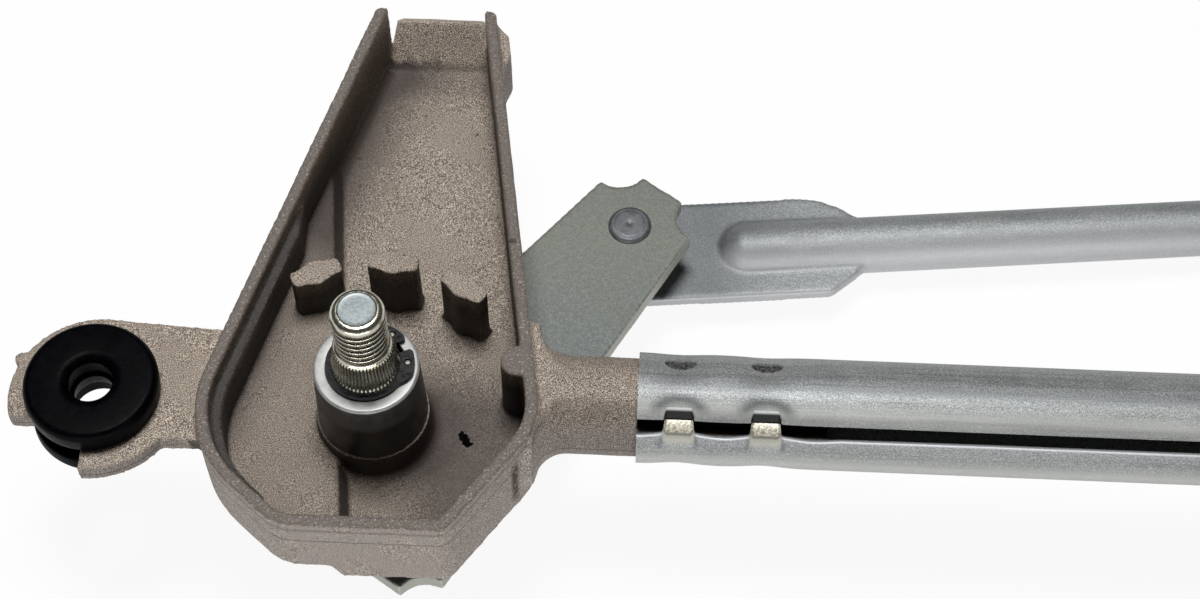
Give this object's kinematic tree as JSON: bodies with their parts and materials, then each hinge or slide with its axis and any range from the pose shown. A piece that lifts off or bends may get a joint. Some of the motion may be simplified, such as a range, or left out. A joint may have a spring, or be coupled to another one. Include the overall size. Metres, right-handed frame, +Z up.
{
  "type": "wiper linkage",
  "caption": "Windscreen wiper linkage: cast spindle housings on a bent slotted tube, plate levers, a tie link and a drive link with ball joints, rubber-mounted.",
  "frame": {"origin": "left spindle axis, level with the top face of its bearing sleeve, where the arm seats", "axes": "+X along the left leg of the frame tube, +Y towards the back of the trays, +Z up the spindle"},
  "size_m": [0.6325, 0.2647, 0.0756],
  "materials": {
    "die_cast_alloy": "as-cast, fine sandy grain",
    "black_rubber": "moulded, matt",
    "bearing_iron": "turned, dark, bright end face",
    "sintered_bronze": "oiled sinter",
    "galvanised_tube": "galvanised, drawn lines",
    "zinc_sheet": "zinc plated",
    "black_spring_steel": "black oxide",
    "passivated_lever": "zinc plated, yellow-green passivated",
    "bright_spindle": "zinc plated, light rust specks",
    "white_nylon": "moulded nylon",
    "plain_steel": "plain steel"
  },
  "bodies": {
    "frame": {"left_housing": "die_cast_alloy", "left_grommet": "black_rubber", "left_bearing_sleeve": "bearing_iron", "left_upper_bush": "sintered_bronze", "left_lower_bush": "sintered_bronze", "left_shaft_seal": "black_rubber", "frame_tube": "galvanised_tube", "motor_bracket": "zinc_sheet", "bracket_grommet": "black_rubber", "right_housing": "die_cast_alloy", "right_grommet": "black_rubber", "right_bearing_sleeve": "bearing_iron", "right_upper_bush": "sintered_bronze", "right_lower_bush": "sintered_bronze", "right_shaft_seal": "black_rubber"},
    "left_crank": {"left_pivot_shaft": "bright_spindle", "left_circlip": "black_spring_steel", "left_thrust_washer": "plain_steel", "left_lever": "passivated_lever", "left_ball_stud": "plain_steel"},
    "right_crank": {"right_pivot_shaft": "bright_spindle", "right_circlip": "black_spring_steel", "right_thrust_washer": "plain_steel", "right_lever": "passivated_lever", "right_tie_ball_stud": "plain_steel", "right_drive_ball_stud": "plain_steel"},
    "tie_link": {"tie_link_rod": "zinc_sheet", "tie_left_socket": "white_nylon", "tie_right_socket": "white_nylon"},
    "drive_link": {"drive_link_rod": "zinc_sheet", "drive_lever_socket": "white_nylon", "drive_crank_socket": "white_nylon"}
  },
  "joints": [
    {"name": "left_pivot", "type": "hinge", "parent": "frame", "child": "left_crank", "pos_m": [0, 0, 0], "axis": [0, 0, 1], "range_deg": [0, 90]},
    {"name": "right_pivot", "type": "hinge", "parent": "frame", "child": "right_crank", "pos_m": [0.49726, 0.05226, 0], "axis": [0, 0, 1], "range_deg": [0, 90]},
    {"name": "tie_ball_joint", "type": "hinge", "parent": "left_crank", "child": "tie_link", "pos_m": [0.04662, 0.05656, -0.0481], "axis": [0, 0, 1], "range_deg": [-90, 0]},
    {"name": "drive_ball_joint", "type": "hinge", "parent": "right_crank", "child": "drive_link", "pos_m": [0.45274, -0.00175, -0.0481], "axis": [0, 0, 1], "range_deg": [-90, 0]}
  ],
  "couplings": [
    {"joint": "right_pivot", "follows": "left_pivot", "ratio": 1},
    {"joint": "tie_ball_joint", "follows": "left_pivot", "ratio": -1},
    {"joint": "drive_ball_joint", "follows": "left_pivot", "ratio": -1}
  ]
}
